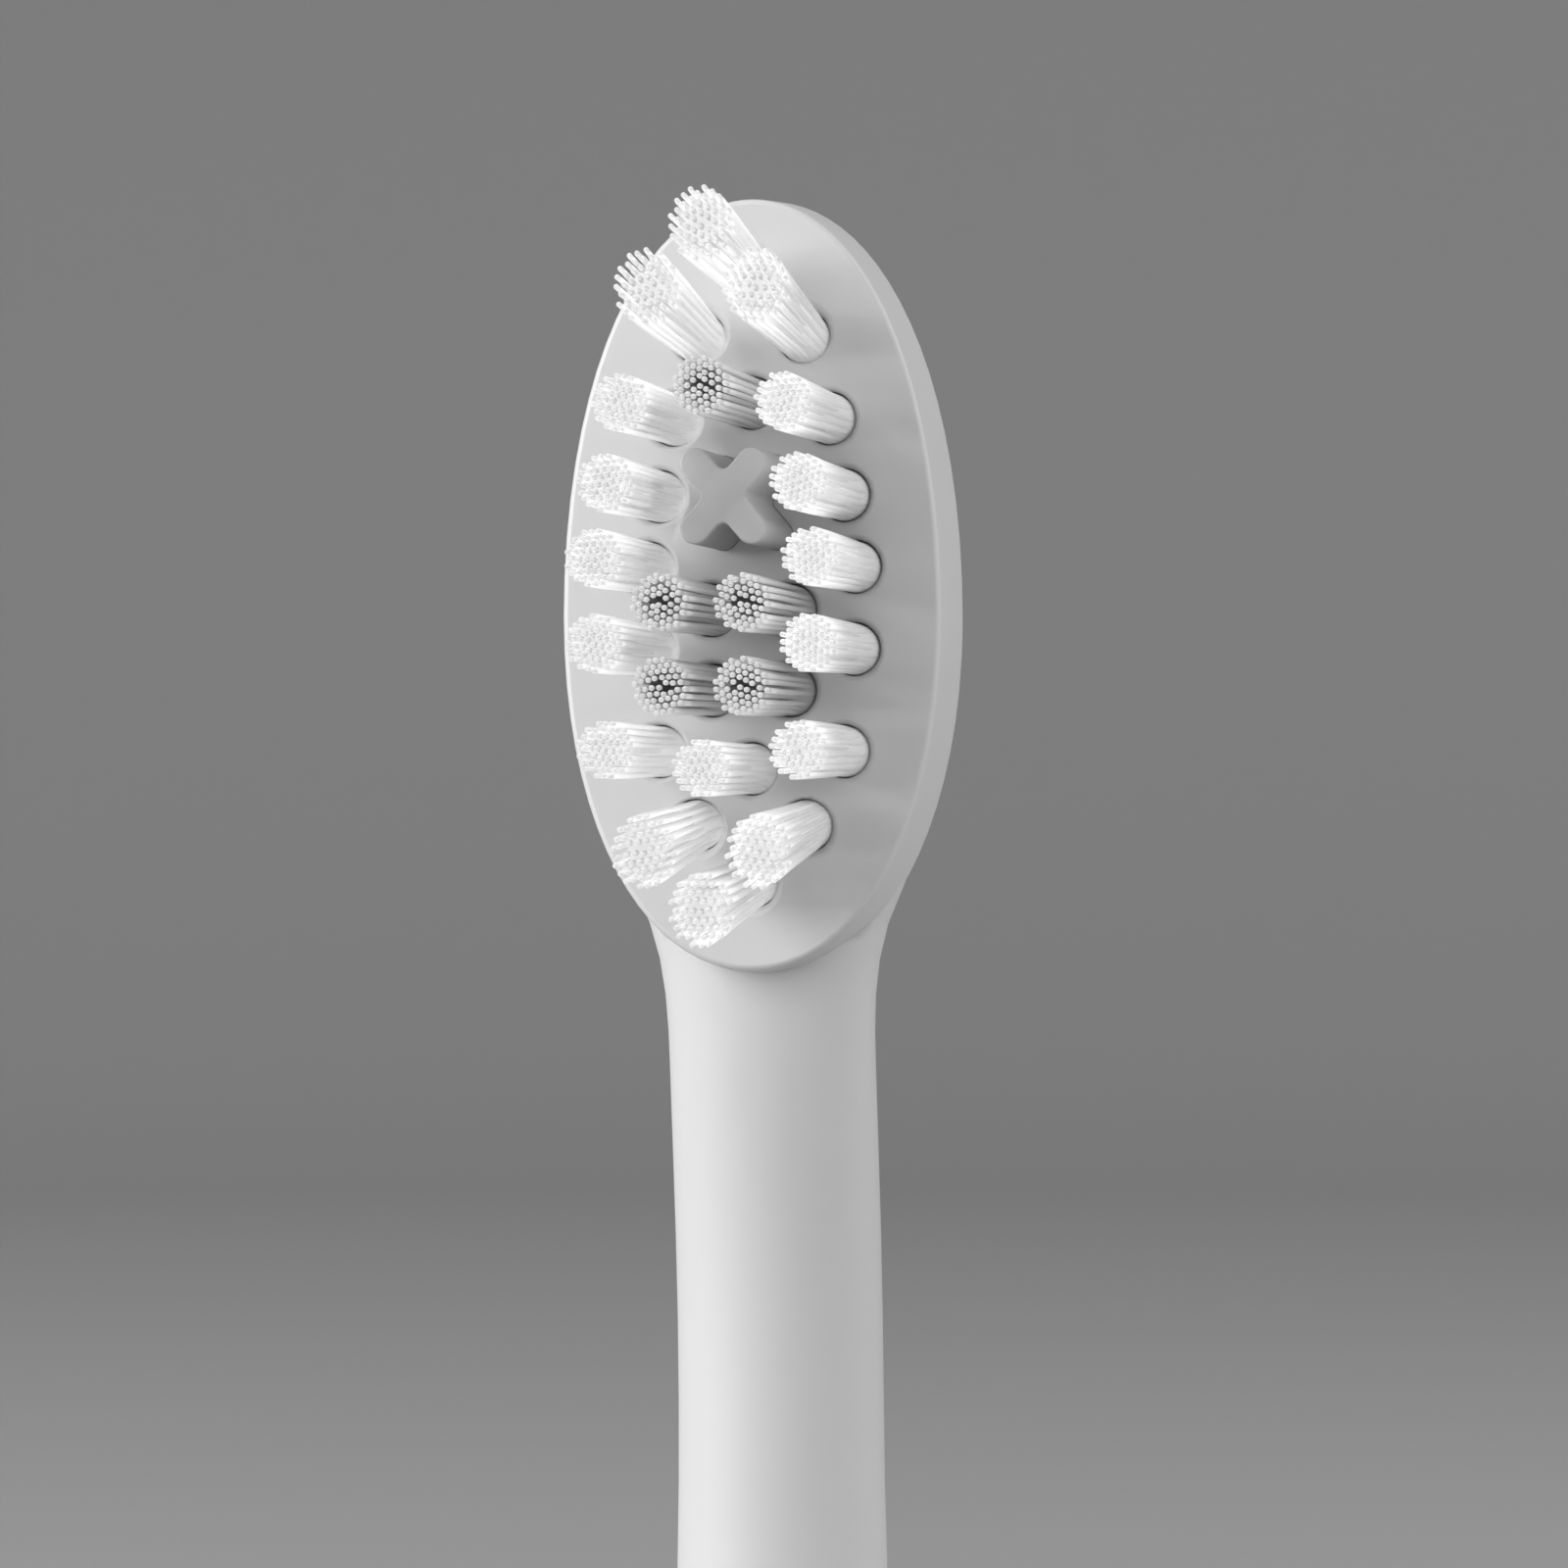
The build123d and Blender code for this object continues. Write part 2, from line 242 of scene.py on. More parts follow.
class FinishSettings(bpy.types.PropertyGroup):
    """Colours of the finishes."""

    moulding: bpy.props.FloatVectorProperty(
        name="White Moulding",
        description="Satin white plastic of head and neck",
        default=(0.62, 0.62, 0.62),
        subtype="COLOR",
    )
    white_nylon: bpy.props.FloatVectorProperty(
        name="White Nylon",
        description="White bristles",
        default=(0.84, 0.84, 0.84),
        subtype="COLOR",
    )
    grey_nylon: bpy.props.FloatVectorProperty(
        name="Grey Nylon",
        description="Grey bristles",
        default=(0.67, 0.67, 0.67),
        subtype="COLOR",
    )
    # Painted shade: the hearts stand in for the shaded depth between the bristles, and are coloured darker
    # towards their tops
    white_bundle: bpy.props.FloatVectorProperty(
        name="White Bundle",
        description="Depth between white bristles",
        default=(0.92, 0.92, 0.92),
        subtype="COLOR",
    )
    grey_bundle: bpy.props.FloatVectorProperty(
        name="Grey Bundle",
        description="Depth between grey bristles",
        default=(0.55, 0.55, 0.55),
        subtype="COLOR",
    )
    rubber: bpy.props.FloatVectorProperty(
        name="Grey Rubber",
        description="Soft polishing cross",
        default=(0.42, 0.42, 0.42),
        subtype="COLOR",
    )
    ring: bpy.props.FloatVectorProperty(
        name="Ring Plastic",
        description="Ring round the foot",
        default=(0.46, 0.46, 0.46),
        subtype="COLOR",
    )
    sleeve: bpy.props.FloatVectorProperty(
        name="Sleeve Plastic",
        description="Stiff liner of the drive-shaft socket",
        default=(0.62, 0.61, 0.58),
        subtype="COLOR",
    )
    steel: bpy.props.FloatVectorProperty(
        name="Spring Steel",
        description="Leaf in the socket",
        default=(0.56, 0.56, 0.57),
        subtype="COLOR",
    )
    brass: bpy.props.FloatVectorProperty(
        name="Anchor Wire",
        description="Wire across the foot of each tuft",
        default=(0.72, 0.58, 0.32),
        subtype="COLOR",
    )


class StageSettings(bpy.types.PropertyGroup):
    """Studio bowl, lamps and camera."""

    backdrop: bpy.props.FloatVectorProperty(
        name="Backdrop",
        description="Pale grey of floor and wall",
        default=(0.39, 0.39, 0.39),
        subtype="COLOR",
    )
    bowl_radius: bpy.props.FloatProperty(
        name="Bowl Radius",
        description="Floor and wall around the object",
        default=1.1,
        unit="LENGTH",
    )
    opening: bpy.props.FloatProperty(
        name="Floor Opening",
        description="Radius of the hole in the floor that lets light onto the underside of the foot",
        default=FOOT_RADIUS,
        precision=6,
        unit="LENGTH",
    )
    key_power: bpy.props.FloatProperty(
        name="Key Power",
        description="Large soft lamp at the left",
        default=4.5,
        unit="POWER",
    )
    front_power: bpy.props.FloatProperty(
        name="Front Power",
        description="Large soft lamp above the camera",
        default=0.68,
        unit="POWER",
    )
    fill_power: bpy.props.FloatProperty(
        name="Fill Power",
        description="Soft lamp at the right",
        default=2.1,
        unit="POWER",
    )
    world_strength: bpy.props.FloatProperty(
        name="Sky Strength",
        description="Even light from above",
        default=0.5,
    )
    camera_distance: bpy.props.FloatProperty(
        name="Camera Distance",
        description="Camera to the axis of the drive shaft",
        default=206.5 * MM,
        unit="LENGTH",
    )
    camera_turn: bpy.props.FloatProperty(
        name="Camera Turn",
        description="Turn of the camera from the front towards the right",
        default=math.radians(9.7),
        subtype="ANGLE",
    )
    camera_height: bpy.props.FloatProperty(
        name="Camera Height",
        description="Camera above the foot of the brush head",
        default=58.26 * MM,
        unit="LENGTH",
    )
    lens: bpy.props.FloatProperty(
        name="Lens",
        description="Focal length on a 36 mm sensor, in millimetres",
        default=137.7,
    )


def select_only(piece):
    """Leaves one object selected and active."""
    bpy.ops.object.select_all(action="DESELECT")
    piece.select_set(True)
    bpy.context.view_layer.objects.active = piece


def select_faces(piece, wanted):
    """Selects the faces of the active piece that pass a test, and leaves it in edit mode."""
    bpy.ops.object.mode_set(mode="OBJECT")
    for polygon in piece.data.polygons:
        polygon.select = wanted(polygon)
    bpy.ops.object.mode_set(mode="EDIT")
    bpy.ops.mesh.select_mode(type="FACE")


def dissolve_flat(angle):
    """Joins faces of the active piece that lie nearly level with one another."""
    bpy.ops.object.mode_set(mode="EDIT")
    bpy.ops.mesh.select_all(action="SELECT")
    bpy.ops.mesh.dissolve_limited(angle_limit=angle)
    bpy.ops.mesh.select_all(action="DESELECT")
    bpy.ops.object.mode_set(mode="OBJECT")


def weight_normals(piece):
    """Lets large faces lead the smooth shading, and keeps sharp edges."""
    select_only(piece)
    bpy.ops.object.modifier_add(type="WEIGHTED_NORMAL")
    modifier = piece.modifiers[-1]
    modifier.keep_sharp = True
    modifier.weight = NORMAL_WEIGHT
    bpy.ops.object.modifier_apply(modifier=modifier.name)


def merged_copy(node, name):
    """Copy of a CAD node's mesh with its loose triangles merged."""
    piece = bpy.data.objects.new(name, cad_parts[node].data.copy())
    bpy.context.scene.collection.objects.link(piece)
    piece.data.name = name
    piece.data.materials.clear()
    select_only(piece)
    bpy.ops.mesh.customdata_custom_splitnormals_clear()
    bpy.ops.object.mode_set(mode="EDIT")
    bpy.ops.mesh.select_all(action="SELECT")
    bpy.ops.mesh.remove_doubles(threshold=MERGE_DISTANCE)
    bpy.ops.object.mode_set(mode="OBJECT")
    return piece


def settle(piece, material, slot, *nodes):
    """Gives a finished piece its finish, its body and the nodes that it stands for."""
    piece.data.materials.clear()
    piece.data.materials.append(material)
    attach(piece, "root")
    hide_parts(*nodes)


class ShaderWriter:
    """Adds nodes to a shader tree, and links each to what feeds it."""

    def __init__(self, tree):
        self.nodes = tree.nodes
        self.links = tree.links

    def add(self, kind, operation=None, **feeds):
        """One node, with its inputs linked to sockets or set to values."""
        node = self.nodes.new(kind)
        if operation is not None:
            node.operation = operation
        for name, feed in feeds.items():
            self.feed(node.inputs[name.replace("_", " ")], feed)
        return node

    def feed(self, socket, source):
        """Links a socket to another node's output, or sets it to a value."""
        if isinstance(source, bpy.types.NodeSocket):
            self.links.new(source, socket)
        else:
            socket.default_value = source

    def math(self, operation, *feeds):
        """Result of one calculation on numbers."""
        node = self.add("ShaderNodeMath", operation)
        for socket, feed in zip(node.inputs, feeds):
            self.feed(socket, feed)
        return node.outputs["Value"]

    def tint(self, color, shade):
        """A colour made lighter or darker."""
        node = self.add("ShaderNodeVectorMath", "SCALE", Scale=shade)
        self.feed(node.inputs[0], color)
        return node.outputs["Vector"]

    def noise(self, size, detail, stretch=None):
        """Noise on the object, drawn out along an axis where a stretch is given."""
        place = self.add("ShaderNodeTexCoord").outputs["Object"]
        if stretch is not None:
            place = self.add("ShaderNodeMapping", Vector=place, Scale=stretch).outputs["Vector"]
        return self.add("ShaderNodeTexNoise", Vector=place, Scale=size, Detail=detail).outputs["Fac"]

    def span(self, share, low, high):
        """A share from 0 to 1, laid onto a range."""
        node = self.add("ShaderNodeMapRange", Value=share, To_Min=low, To_Max=high)
        return node.outputs["Result"]

    def mark(self, name):
        """A number kept for every point of the piece."""
        node = self.add("ShaderNodeAttribute")
        node.attribute_name = name
        return node.outputs["Fac"]


def surface_group(name, inputs, outputs, fill):
    """Node group with named sockets, filled the first time that it is asked for."""
    if name in bpy.data.node_groups:
        return bpy.data.node_groups[name]
    group = bpy.data.node_groups.new(name, "ShaderNodeTree")
    kinds = {"Color": "NodeSocketColor"}
    for socket_name, default in inputs.items():
        kind = kinds.get(socket_name, "NodeSocketFloat")
        socket = group.interface.new_socket(name=socket_name, in_out="INPUT", socket_type=kind)
        socket.default_value = default
    for socket_name in outputs:
        kind = kinds.get(socket_name, "NodeSocketFloat")
        group.interface.new_socket(name=socket_name, in_out="OUTPUT", socket_type=kind)
    writer = ShaderWriter(group)
    entry = writer.add("NodeGroupInput")
    leave = writer.add("NodeGroupOutput")
    for socket_name, result in fill(writer, entry.outputs).items():
        writer.feed(leave.inputs[socket_name], result)
    return group


def moulded_surface():
    """Node group: flow clouding, roughness and fine grain of a moulded surface."""
    inputs = {
        "Color": (0.8, 0.8, 0.8, 1.0),
        "Clouding": 0.04,
        "Cloud Size": 250.0,
        "Grain Size": 9000.0,
        "Roughness": 0.4,
        "Roughness Spread": 0.06,
    }

    def fill(writer, given):
        """Clouds shift colour and roughness together, and the grain is a height."""
        cloud = writer.math("SUBTRACT", writer.noise(given["Cloud Size"], 3.0), 0.5)
        shade = writer.math("MULTIPLY_ADD", cloud, given["Clouding"], 1.0)
        return {
            "Color": writer.tint(given["Color"], shade),
            "Roughness": writer.math("MULTIPLY_ADD", cloud, given["Roughness Spread"], given["Roughness"]),
            "Height": writer.noise(given["Grain Size"], 4.0),
        }

    return surface_group("Moulded Surface", inputs, ("Color", "Roughness", "Height"), fill)


def nylon_surface():
    """Node group: darker and lighter filaments at random, with painted shade where they stand close and a
    painted highlight at their tips.
    """
    inputs = {
        "Color": (0.8, 0.8, 0.8, 1.0),
        "Darkest Filament": 0.9,
        "Close Filaments": 0.7,
        "Tip Lift": 0.1,
    }

    def fill(writer, given):
        """The marks on the points give a random tone, painted shade and a painted tip highlight, and streaks
        along the filament change its roughness.
        """
        filament = writer.span(writer.mark("tone"), given["Darkest Filament"], 1.0)
        # Painted shade: points marked as lying deep between other filaments are coloured darker
        crowd = writer.span(writer.mark("crowd"), 1.0, given["Close Filaments"])
        depth = writer.math("MULTIPLY", filament, crowd)
        # Painted highlight: points marked as tips are coloured lighter
        shade = writer.math("MULTIPLY_ADD", writer.mark("tip"), given["Tip Lift"], depth)
        streak = writer.noise(STREAK_SIZE, 2.0, STREAK_STRETCH)
        return {
            "Color": writer.tint(given["Color"], shade),
            "Roughness": writer.span(streak, *NYLON_ROUGHNESS),
        }

    return surface_group("Nylon Surface", inputs, ("Color", "Roughness"), fill)


def metal_surface():
    """Node group: fine lines along drawn or rolled metal."""
    inputs = {
        "Color": (0.8, 0.8, 0.8, 1.0),
        "Line Size": 9000.0,
        "Roughness": 0.3,
    }

    def fill(writer, given):
        """The lines shift colour and roughness together."""
        lines = writer.noise(given["Line Size"], 3.0, LINE_STRETCH)
        centred = writer.math("SUBTRACT", lines, 0.5)
        return {
            "Color": writer.tint(given["Color"], writer.span(lines, *METAL_TONE)),
            "Roughness": writer.math("MULTIPLY_ADD", centred, METAL_ROUGHNESS_SPREAD, given["Roughness"]),
        }

    return surface_group("Metal Surface", inputs, ("Color", "Roughness"), fill)


def shaded_material(name, group, values):
    """New material whose colour and roughness come from a shared surface, with its writer and nodes."""
    material = bpy.data.materials.new(name)
    material.use_nodes = True
    writer = ShaderWriter(material.node_tree)
    shader = writer.nodes["Principled BSDF"]
    surface = writer.add("ShaderNodeGroup")
    surface.node_tree = group
    for socket, value in values.items():
        surface.inputs[socket].default_value = value
    writer.feed(shader.inputs["Base Color"], surface.outputs["Color"])
    writer.feed(shader.inputs["Roughness"], surface.outputs["Roughness"])
    return material, writer, shader, surface


def moulded_material(name, color, clouding, grain_size, roughness, bump, **shader_values):
    """Material of a moulded piece, on the shared moulded surface."""
    values = {
        "Color": (*color, 1.0),
        "Clouding": clouding,
        "Grain Size": grain_size,
        "Roughness": roughness,
    }
    material, writer, shader, surface = shaded_material(name, moulded_surface(), values)
    grain = surface.outputs["Height"]
    relief = writer.add("ShaderNodeBump", Strength=bump, Distance=GRAIN_DEPTH, Height=grain)
    writer.feed(shader.inputs["Normal"], relief.outputs["Normal"])
    for socket, value in shader_values.items():
        shader.inputs[socket.replace("_", " ")].default_value = value
    return material


def nylon_material(name, color, darkest, close, painted_tip_highlight, through):
    """Translucent nylon, on the shared nylon surface, with painted shade between close filaments and a
    painted highlight at the tips.
    """
    values = {
        "Color": (*color, 1.0),
        "Darkest Filament": darkest,
        "Close Filaments": close,
        "Tip Lift": painted_tip_highlight,
    }
    material, writer, shader, surface = shaded_material(name, nylon_surface(), values)
    shader.inputs["IOR"].default_value = NYLON_IOR
    seep = writer.add("ShaderNodeBsdfTranslucent", Color=surface.outputs["Color"])
    nylon = writer.add("ShaderNodeMixShader", Fac=through)
    writer.feed(nylon.inputs[1], shader.outputs["BSDF"])
    writer.feed(nylon.inputs[2], seep.outputs["BSDF"])
    writer.feed(writer.nodes["Material Output"].inputs["Surface"], nylon.outputs["Shader"])
    return material


def let_light_seep(material, near_pass, far_pass):
    """Lets light seep through a bundle onto its own filaments, and less of it onto what lies farther off."""
    writer = ShaderWriter(material.node_tree)
    surface = writer.nodes["Material Output"].inputs["Surface"]
    solid = surface.links[0].from_socket
    ray = writer.add("ShaderNodeLightPath")
    passed = writer.add(
        "ShaderNodeMapRange",
        Value=ray.outputs["Ray Length"],
        From_Min=SEEP_NEAR,
        From_Max=SEEP_FAR,
        To_Min=near_pass,
        To_Max=far_pass,
    )
    share = writer.math("MULTIPLY", ray.outputs["Is Shadow Ray"], passed.outputs["Result"])
    clear = writer.add("ShaderNodeBsdfTransparent")
    either = writer.add("ShaderNodeMixShader", Fac=share)
    writer.feed(either.inputs[1], solid)
    writer.feed(either.inputs[2], clear.outputs["BSDF"])
    writer.feed(surface, either.outputs["Shader"])


def metal_material(name, color, roughness, line_size):
    """Metal on the shared surface of fine lines."""
    values = {"Color": (*color, 1.0), "Line Size": line_size, "Roughness": roughness}
    material, _, shader, _ = shaded_material(name, metal_surface(), values)
    shader.inputs["Metallic"].default_value = 1.0
    return material


class BRUSH_OT_moulded_head(bpy.types.Operator):
    """Smooth white moulding of head and neck"""

    bl_idname = "brush.moulded_head"
    bl_label = "Moulded Head"

    def execute(self, context):
        finish = context.scene.brush_finish
        head = merged_copy("head_body", "moulded_head")
        dissolve_flat(HEAD_FLAT_ANGLE)
        bpy.ops.object.shade_smooth_by_angle(angle=SMOOTH_ANGLE)
        weight_normals(head)
        satin = moulded_material(
            "satin_white_moulding",
            finish.moulding,
            clouding=0.03,
            grain_size=9000.0,
            roughness=0.42,
            bump=0.06,
            Subsurface_Weight=0.12,
            Subsurface_Radius=(1.0, 1.0, 1.0),
            Subsurface_Scale=0.6 * MM,
            IOR=1.49,
        )
        settle(head, satin, "white_body", "head_body")
        return {"FINISHED"}


def model_filament(settings, length):
    """One upright filament on the origin: a slim round rod with a rounded tip, bowed a little."""
    bpy.ops.object.select_all(action="DESELECT")
    radius = settings.diameter / 2
    bpy.ops.mesh.primitive_cylinder_add(
        vertices=FILAMENT_SIDES,
        radius=radius,
        depth=length,
        end_fill_type="NGON",
        location=(0, 0, length / 2),
    )
    rod = bpy.context.active_object
    rod.name = "filament"
    bpy.ops.object.transform_apply(location=True, rotation=True, scale=True)
    bpy.ops.object.mode_set(mode="EDIT")
    # An extra ring at the painted shade depth below the tip, from which the painted shade fades out towards
    # the tip
    for share in (*BOW_SHARES, 1 - settings.painted_shade_fade / length):
        bpy.ops.mesh.select_all(action="SELECT")
        bpy.ops.mesh.bisect(plane_co=(0, 0, length * share), plane_no=(0, 0, 1))
        # The curve is nought at both ends and the full bow half-way up
        bpy.ops.transform.translate(value=(4 * share * (1 - share) * settings.bow, 0, 0))
    select_faces(rod, lambda polygon: polygon.normal.z > FACING)
    rounding = radius * TIP_ROUNDING
    bpy.ops.mesh.bevel(offset=rounding, offset_type="OFFSET", segments=TIP_STEPS, affect="EDGES")
    bpy.ops.object.mode_set(mode="OBJECT")
    bpy.ops.object.shade_smooth()
    return rod


def tuft_axis(node):
    """Foot and tip of a tuft's axis, from the ends of its solid."""
    points = [vertex.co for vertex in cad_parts[node].data.vertices]
    nearest = min(point.y for point in points)
    deepest = max(point.y for point in points)
    tip_points = [point for point in points if point.y < nearest + TIP_BAND]
    foot_points = [point for point in points if point.y > deepest - FOOT_BAND]
    tip = sum(tip_points, Vector()) / len(tip_points)
    foot = sum(foot_points, Vector()) / len(foot_points)
    tip.y = nearest
    return foot, tip


def hexagon_places(pitch, radius):
    """Even close-packed places inside a circle, as steps of the pitch."""
    reach = int(radius / pitch) + 2
    places = []
    for row in range(-reach, reach + 1):
        for column in range(-reach, reach + 1):
            across = column + 0.5 * row
            up = row * math.sqrt(3) / 2
            if math.hypot(across, up) * pitch <= radius:
                places.append((across, up))
    return places


def mark_points(piece, name, values):
    """Keeps one number for every point of a piece."""
    marks = piece.data.attributes.new(name, "FLOAT", "POINT")
    marks.data.foreach_set("value", values)


def tuft_start(settings, foot, along):
    """Point on a tuft's axis where its filaments begin, inside the hole."""
    return foot + along * ((FACE_Y - foot.y) / along.y) - along * settings.sunk


def tuft_fan(settings, along):
    """Spread of the tips across the head and along it, more for a leaning tuft."""
    lean = math.hypot(along.x, along.z)
    fan = settings.end_fan if lean > UPRIGHT_LEAN else settings.fan
    return 1 + (fan - 1) * SIDE_FAN_SHARE, fan


def bundle_heart(name, node, settings, drop):
    """Tapered heart of a bundle, which fills its gaps at the root and leaves the tips free."""
    foot, tip = tuft_axis(node)
    along = (tip - foot).normalized()
    start = tuft_start(settings, foot, along)
    length = (tip - start).length - drop
    bpy.ops.object.select_all(action="DESELECT")
    bpy.ops.mesh.primitive_cone_add(
        vertices=HEART_SIDES,
        radius1=settings.bundle_radius + settings.diameter * HEART_OVERLAP,
        radius2=settings.bundle_radius * settings.heart_taper,
        depth=length,
        end_fill_type="NGON",
        location=(0, 0, length / 2),
    )
    core = bpy.context.active_object
    core.name = name
    core.data.name = name
    bpy.ops.object.transform_apply(location=True, rotation=True, scale=True)
    bpy.ops.object.shade_smooth_by_angle(angle=SMOOTH_ANGLE)
    mark_points(core, "tone", [HEART_TONE] * len(core.data.vertices))
    # Painted shade: the heart is marked to be coloured darker towards its top, where it shows between the
    # filaments
    mark_points(core, "crowd", [vertex.co.z / length for vertex in core.data.vertices])
    mark_points(core, "tip", [0.0] * len(core.data.vertices))
    core.data.transform(Matrix.Translation(start) @ along.to_track_quat("Z", "Y").to_matrix().to_4x4())
    return core


def filament_places(node, settings, length, scatter):
    """Matrix, share of the bundle's radius and lightness of each filament of a tuft."""
    foot, tip = tuft_axis(node)
    along = (tip - foot).normalized()
    start = tuft_start(settings, foot, along)
    reach = (tip - start).length
    side_fan, fan = tuft_fan(settings, along)
    side = Vector((1, 0, 0))
    upward = side.cross(along).normalized()
    turn = scatter.uniform(0, math.pi / 3)
    outermost = settings.bundle_radius / settings.root_pitch
    placed = []
    for across, up in hexagon_places(settings.root_pitch, settings.bundle_radius):
        x = across * math.cos(turn) - up * math.sin(turn)
        y = across * math.sin(turn) + up * math.cos(turn)
        rim = math.hypot(x, y) / outermost
        spread_x = x * settings.tip_pitch * side_fan + scatter.gauss(0, settings.tip_wander)
        spread_y = y * settings.tip_pitch * fan + scatter.gauss(0, settings.tip_wander)
        spread_y += math.copysign(settings.split * (1 - rim), y)
        height = reach - settings.crown * rim**2 + scatter.uniform(-1, 1) * settings.length_spread
        root = start + side * (x * settings.root_pitch) + upward * (y * settings.root_pitch)
        beside = side * spread_x + upward * spread_y
        level = along * (settings.trim * beside.y / along.y)
        end = start + along * height + beside - level
        rotation = (end - root).to_track_quat("Z", "Y").to_matrix().to_4x4()
        spin = Matrix.Rotation(scatter.uniform(0, math.tau), 4, "Z")
        stretch = Matrix.Diagonal((1, 1, (end - root).length / length, 1))
        placed.append((Matrix.Translation(root) @ rotation @ spin @ stretch, rim, scatter.random()))
    return placed


def joined_copies(name, rod, placed, settings):
    """One piece from a copy of the rod at each place, marked with its random tone, its painted shade and its
    painted tip highlight.
    """
    copies = []
    top = max(vertex.co.z for vertex in rod.data.vertices)
    below = [1.0 if vertex.co.z < top - settings.diameter else 0.0 for vertex in rod.data.vertices]
    for matrix, rim, lightness in placed:
        # Painted shade: filaments inside the bundle are coloured darker below their tips, the outer ring not
        # at all
        inner_painted_shade = max(0, 1 - (rim / PAINTED_SHADE_REACH) ** PAINTED_SHADE_POWER)
        copy = rod.copy()
        copy.data = rod.data.copy()
        copy.data.transform(matrix)
        mark_points(copy, "tone", [lightness] * len(below))
        mark_points(copy, "crowd", [share * inner_painted_shade for share in below])
        # Painted highlight: the tip of each filament is marked to be coloured lighter
        mark_points(copy, "tip", [1 - share for share in below])
        bpy.context.scene.collection.objects.link(copy)
        copies.append(copy)
    select_only(copies[0])
    for copy in copies:
        copy.select_set(True)
    bpy.ops.object.join()
    piece = bpy.context.active_object
    piece.name = name
    piece.data.name = name
    return piece


class BRUSH_OT_bristle_tufts(bpy.types.Operator):
    """Bundles of white and grey nylon filaments, one in each hole"""

    bl_idname = "brush.bristle_tufts"
    bl_label = "Bristle Tufts"

    def execute(self, context):
        settings = context.scene.brush_bristles
        finish = context.scene.brush_finish
        # Painted shade darkens the inner filaments below their tips, and a painted highlight lightens the
        # tips
        nylon = {
            "white": nylon_material(
                "white_nylon",
                finish.white_nylon,
                darkest=0.94,
                close=0.72,
                painted_tip_highlight=0.09,
                through=0.45,
            ),
            "grey": nylon_material(
                "grey_nylon",
                finish.grey_nylon,
                darkest=0.88,
                close=0.07,
                painted_tip_highlight=0.3,
                through=0.3,
            ),
        }
        # The hearts carry painted shade: they are coloured darker towards their tops, where they show
        # between the filaments
        shade = {
            "white": nylon_material(
                "white_bundle",
                finish.white_bundle,
                darkest=1.0,
                close=0.88,
                painted_tip_highlight=0.0,
                through=0.3,
            ),
            "grey": nylon_material(
                "grey_bundle",
                finish.grey_bundle,
                darkest=1.0,
                close=0.1,
                painted_tip_highlight=0.0,
                through=0.3,
            ),
        }
        for material in shade.values():
            let_light_seep(material, near_pass=0.66, far_pass=0.05)
        drops = {"white": settings.heart_drop[0], "grey": settings.heart_drop[1]}
        scatter = random.Random(settings.seed)
        nodes = sorted(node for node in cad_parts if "_tuft_" in node)
        if not nodes:
            raise RuntimeError("the frame holds no tufts")
        tip = tuft_axis(nodes[0])[1]
        length = FACE_Y - tip.y + settings.sunk
        rod = model_filament(settings, length)
        for node in nodes:
            colour, number = node.split("_tuft_")
            placed = filament_places(node, settings, length, scatter)
            bundle = joined_copies(f"bristles_{colour}_{number}", rod, placed, settings)
            bundle.visible_shadow = False
            settle(bundle, nylon[colour], f"{colour}_bristle", node)
            core = bundle_heart(f"bristle_heart_{colour}_{number}", node, settings, drops[colour])
            settle(core, shade[colour], f"{colour}_bristle", node)
        bpy.data.objects.remove(rod)
        return {"FINISHED"}


class BRUSH_OT_polishing_cross(bpy.types.Operator):
    """Soft grey rib with rounded upper edges"""

    bl_idname = "brush.polishing_cross"
    bl_label = "Polishing Cross"

    def execute(self, context):
        finish = context.scene.brush_finish
        cross = merged_copy("polishing_cross", "polishing_rib")
        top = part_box("polishing_cross")[0].y
        dissolve_flat(RIB_FLAT_ANGLE)
        top_limit = top + RIB_TOP_BAND
        select_faces(cross, lambda polygon: polygon.normal.y < -FACING and polygon.center.y < top_limit)
        bpy.ops.mesh.bevel(offset=RIB_EDGE, segments=RIB_EDGE_STEPS, affect="EDGES")
        bpy.ops.object.mode_set(mode="OBJECT")
        bpy.ops.object.shade_smooth_by_angle(angle=RIB_SMOOTH_ANGLE)
        rubber = moulded_material(
            "grey_rubber",
            finish.rubber,
            clouding=0.05,
            grain_size=14000.0,
            roughness=0.62,
            bump=0.12,
            IOR=1.5,
        )
        settle(cross, rubber, "grey_rubber", "polishing_cross")
        return {"FINISHED"}


class BRUSH_OT_foot_fittings(bpy.types.Operator):
    """Ring round the foot and liner of the drive-shaft socket"""

    bl_idname = "brush.foot_fittings"
    bl_label = "Foot Fittings"

    def execute(self, context):
        finish = context.scene.brush_finish
        ring = merged_copy("base_ring", "foot_ring")
        bpy.ops.object.shade_smooth_by_angle(angle=SMOOTH_ANGLE)
        weight_normals(ring)
        ring_plastic = moulded_material(
            "ring_plastic",
            finish.ring,
            clouding=0.04,
            grain_size=8000.0,
            roughness=0.4,
            bump=0.08,
            IOR=1.5,
        )
        settle(ring, ring_plastic, "ring_plastic", "base_ring")
        sleeve = merged_copy("shaft_sleeve", "socket_liner")
        bpy.ops.object.shade_smooth_by_angle(angle=LINER_SMOOTH_ANGLE)
        sleeve_plastic = moulded_material(
            "sleeve_plastic",
            finish.sleeve,
            clouding=0.06,
            grain_size=8000.0,
            roughness=0.36,
            bump=0.05,
            IOR=1.5,
        )
        settle(sleeve, sleeve_plastic, "sleeve_plastic", "shaft_sleeve")
        return {"FINISHED"}


